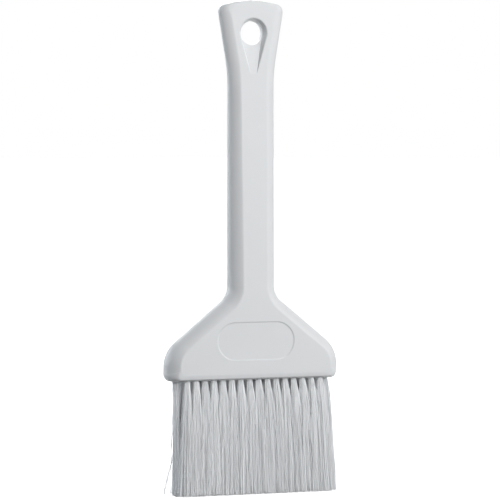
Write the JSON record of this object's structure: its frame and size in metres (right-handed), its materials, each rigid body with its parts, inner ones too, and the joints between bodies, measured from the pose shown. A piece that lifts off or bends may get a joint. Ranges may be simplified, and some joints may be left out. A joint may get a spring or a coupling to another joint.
{
  "type": "pastry brush",
  "caption": "Flat pastry brush: a one-piece white plastic handle and flared head with a hanging hole, filled with rows of soft white bristle tufts.",
  "frame": {"origin": "in the plane of the bristle tips, under the middle of the head", "axes": "+Z from the bristle tips up the handle, +X across the width of the head, -Y out of the front face"},
  "size_m": [0.07, 0.0116, 0.185],
  "materials": {
    "body_plastic": "satin white polypropylene",
    "bristle_filament": "fine translucent white polyester filament",
    "anchor_steel": "stainless steel strip"
  },
  "bodies": {
    "root": {"brush_body": "body_plastic", "front_tuft_01": "bristle_filament", "front_tuft_02": "bristle_filament", "front_tuft_03": "bristle_filament", "front_tuft_04": "bristle_filament", "front_tuft_05": "bristle_filament", "front_tuft_06": "bristle_filament", "front_tuft_07": "bristle_filament", "front_tuft_08": "bristle_filament", "front_tuft_09": "bristle_filament", "front_tuft_10": "bristle_filament", "front_tuft_11": "bristle_filament", "front_tuft_12": "bristle_filament", "front_tuft_13": "bristle_filament", "front_tuft_14": "bristle_filament", "front_tuft_15": "bristle_filament", "front_tuft_16": "bristle_filament", "middle_tuft_01": "bristle_filament", "middle_tuft_02": "bristle_filament", "middle_tuft_03": "bristle_filament", "middle_tuft_04": "bristle_filament", "middle_tuft_05": "bristle_filament", "middle_tuft_06": "bristle_filament", "middle_tuft_07": "bristle_filament", "middle_tuft_08": "bristle_filament", "middle_tuft_09": "bristle_filament", "middle_tuft_10": "bristle_filament", "middle_tuft_11": "bristle_filament", "middle_tuft_12": "bristle_filament", "middle_tuft_13": "bristle_filament", "middle_tuft_14": "bristle_filament", "middle_tuft_15": "bristle_filament", "middle_tuft_16": "bristle_filament", "middle_tuft_17": "bristle_filament", "middle_tuft_18": "bristle_filament", "back_tuft_01": "bristle_filament", "back_tuft_02": "bristle_filament", "back_tuft_03": "bristle_filament", "back_tuft_04": "bristle_filament", "back_tuft_05": "bristle_filament", "back_tuft_06": "bristle_filament", "back_tuft_07": "bristle_filament", "back_tuft_08": "bristle_filament", "back_tuft_09": "bristle_filament", "back_tuft_10": "bristle_filament", "back_tuft_11": "bristle_filament", "back_tuft_12": "bristle_filament", "back_tuft_13": "bristle_filament", "back_tuft_14": "bristle_filament", "back_tuft_15": "bristle_filament", "back_tuft_16": "bristle_filament"}
  },
  "joints": []
}
